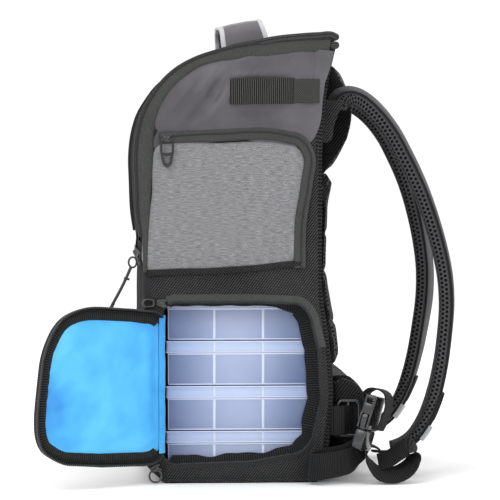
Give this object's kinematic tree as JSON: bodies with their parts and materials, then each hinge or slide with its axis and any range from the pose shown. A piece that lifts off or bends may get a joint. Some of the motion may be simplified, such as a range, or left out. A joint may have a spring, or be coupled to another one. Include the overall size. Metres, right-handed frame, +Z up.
{
  "type": "tackle backpack",
  "caption": "Fishing backpack with a zipped clamshell top, side pockets, padded straps, a hip belt, and a side door that swings open on a stack of slide-out tackle boxes.",
  "frame": {"origin": "middle of the flat base, on the ground", "axes": "+Z up, the bag's front faces -Y, the wearer's side faces +Y, the tackle door is on the +X side"},
  "size_m": [0.4025, 0.4288, 0.473],
  "materials": {
    "dark_twill": "coarse twill",
    "charcoal_twill": "twill",
    "satin_grey": "smooth coated cloth, satin",
    "heather_cloth": "diagonal two-tone weave",
    "back_fabric": "ribbed stretch cloth",
    "zip_tape": "woven zip tape with coil",
    "black_gloss": "glossy moulded",
    "black_rubber": "matt moulded",
    "handle_cloth": "smooth padded cloth",
    "reflective": "silver reflective tape",
    "pull_metal": "satin silver grey",
    "black_webbing": "ribbed webbing",
    "blue_lining": "satin lining",
    "spacer_mesh": "hexagon air mesh",
    "box_tray": "translucent moulded",
    "box_lid": "translucent moulded"
  },
  "bodies": {
    "pack": {"base_panel": "dark_twill", "front_panel": "satin_grey", "side_panel_right": "satin_grey", "side_panel_left": "satin_grey", "bay_floor": "dark_twill", "back_board": "back_fabric", "rear_edge_roll": "charcoal_twill", "edge_band_right": "charcoal_twill", "edge_band_left": "charcoal_twill", "front_zip_tape": "zip_tape", "front_slider": "black_gloss", "pocket_panel_right": "heather_cloth", "pocket_zip_right": "zip_tape", "pocket_panel_left": "heather_cloth", "pocket_zip_left": "zip_tape", "side_loop_right": "black_webbing", "side_loop_left": "black_webbing", "door_surround": "dark_twill", "bay_lip": "dark_twill", "door_slider_upper": "black_gloss", "door_slider_lower": "black_gloss", "back_pad_upper": "spacer_mesh", "back_pad_middle": "spacer_mesh", "lumbar_pad": "spacer_mesh", "strap_roots": "charcoal_twill", "strap_tails": "black_webbing", "hip_wings": "dark_twill", "belt_glide": "black_gloss", "belt_webbing": "black_webbing", "buckle_tongue": "black_gloss"},
    "lid": {"lid_panel": "satin_grey", "lid_zip_tape": "zip_tape", "handle_feet": "charcoal_twill"},
    "handle": {"handle_strap": "handle_cloth", "handle_piping": "reflective"},
    "front_puller": {"front_pull": "black_rubber"},
    "pocket_runner_right": {"pocket_slider_right": "black_gloss"},
    "pocket_puller_right": {"pocket_tab_right": "pull_metal"},
    "pocket_runner_left": {"pocket_slider_left": "black_gloss"},
    "pocket_puller_left": {"pocket_tab_left": "pull_metal"},
    "door": {"door_panel": "charcoal_twill", "door_border": "dark_twill", "door_lining": "blue_lining", "door_zip_rim": "zip_tape"},
    "door_puller_upper": {"door_pull_upper": "black_gloss"},
    "door_puller_lower": {"door_pull_lower": "black_gloss"},
    "strap_right": {"strap_pad_right": "spacer_mesh", "strap_trim_right": "reflective"},
    "strap_left": {"strap_pad_left": "spacer_mesh", "strap_trim_left": "reflective"},
    "buckle": {"buckle_socket": "black_gloss", "buckle_socket_webbing": "black_webbing"},
    "tackle_box_1": {"tackle_tray_1": "box_tray", "tackle_lid_1": "box_lid"},
    "tackle_box_2": {"tackle_tray_2": "box_tray", "tackle_lid_2": "box_lid"},
    "tackle_box_3": {"tackle_tray_3": "box_tray", "tackle_lid_3": "box_lid"},
    "tackle_box_4": {"tackle_tray_4": "box_tray", "tackle_lid_4": "box_lid"}
  },
  "joints": [
    {"name": "lid_hinge", "type": "hinge", "parent": "pack", "child": "lid", "pos_m": [0, -0.089, 0.2415], "axis": [1, 0, 0], "range_deg": [0, 100]},
    {"name": "handle_tilt", "type": "hinge", "parent": "lid", "child": "handle", "pos_m": [0, 0.01466, 0.44747], "axis": [1, 0, 0], "range_deg": [-15, 15]},
    {"name": "front_pull_swing", "type": "hinge", "parent": "pack", "child": "front_puller", "pos_m": [0.123, -0.102, 0.221], "axis": [1, 0, 0], "range_deg": [-100, 12]},
    {"name": "pocket_zip_slide_right", "type": "slide", "parent": "pack", "child": "pocket_runner_right", "axis": [0, 1, 0], "range_m": [0, 0.112]},
    {"name": "pocket_pull_swing_right", "type": "hinge", "parent": "pocket_runner_right", "child": "pocket_puller_right", "pos_m": [0.1564, -0.067, 0.3467], "axis": [0, -1, 0], "range_deg": [0, 110]},
    {"name": "pocket_zip_slide_left", "type": "slide", "parent": "pack", "child": "pocket_runner_left", "axis": [0, 1, 0], "range_m": [0, 0.112]},
    {"name": "pocket_pull_swing_left", "type": "hinge", "parent": "pocket_runner_left", "child": "pocket_puller_left", "pos_m": [-0.1564, -0.067, 0.3467], "axis": [0, 1, 0], "range_deg": [0, 110]},
    {"name": "tackle_door_swing", "type": "hinge", "parent": "pack", "child": "door", "pos_m": [0.15, -0.073, 0.1], "axis": [0, 0, -1], "range_deg": [-147, 33]},
    {"name": "door_pull_swing_upper", "type": "hinge", "parent": "pack", "child": "door_puller_upper", "pos_m": [0.1515, -0.0811, 0.1845], "axis": [0, 0, 1], "range_deg": [0, 90]},
    {"name": "door_pull_swing_lower", "type": "hinge", "parent": "pack", "child": "door_puller_lower", "pos_m": [0.1554, -0.08, 0.0148], "axis": [0, -1, 0], "range_deg": [0, 70]},
    {"name": "tackle_box_slide_1", "type": "slide", "parent": "pack", "child": "tackle_box_1", "axis": [1, 0, 0], "range_m": [0, 0.28], "deforming": ["door_surround", "bay_lip", "belt_webbing"]},
    {"name": "tackle_box_slide_2", "type": "slide", "parent": "pack", "child": "tackle_box_2", "axis": [1, 0, 0], "range_m": [0, 0.28]},
    {"name": "tackle_box_slide_3", "type": "slide", "parent": "pack", "child": "tackle_box_3", "axis": [1, 0, 0], "range_m": [0, 0.28]},
    {"name": "tackle_box_slide_4", "type": "slide", "parent": "pack", "child": "tackle_box_4", "axis": [1, 0, 0], "range_m": [0, 0.28], "deforming": ["door_surround", "bay_lip"]},
    {"name": "strap_swing_right", "type": "hinge", "parent": "pack", "child": "strap_right", "pos_m": [0.094, 0.1, 0.381], "axis": [1, 0, 0], "range_deg": [0, 10]},
    {"name": "strap_swing_left", "type": "hinge", "parent": "pack", "child": "strap_left", "pos_m": [-0.094, 0.1, 0.381], "axis": [1, 0, 0], "range_deg": [0, 10]},
    {"name": "buckle_release", "type": "slide", "parent": "pack", "child": "buckle", "axis": [0, 0.2924, 0.9563], "range_m": [0, 0.03]}
  ]
}
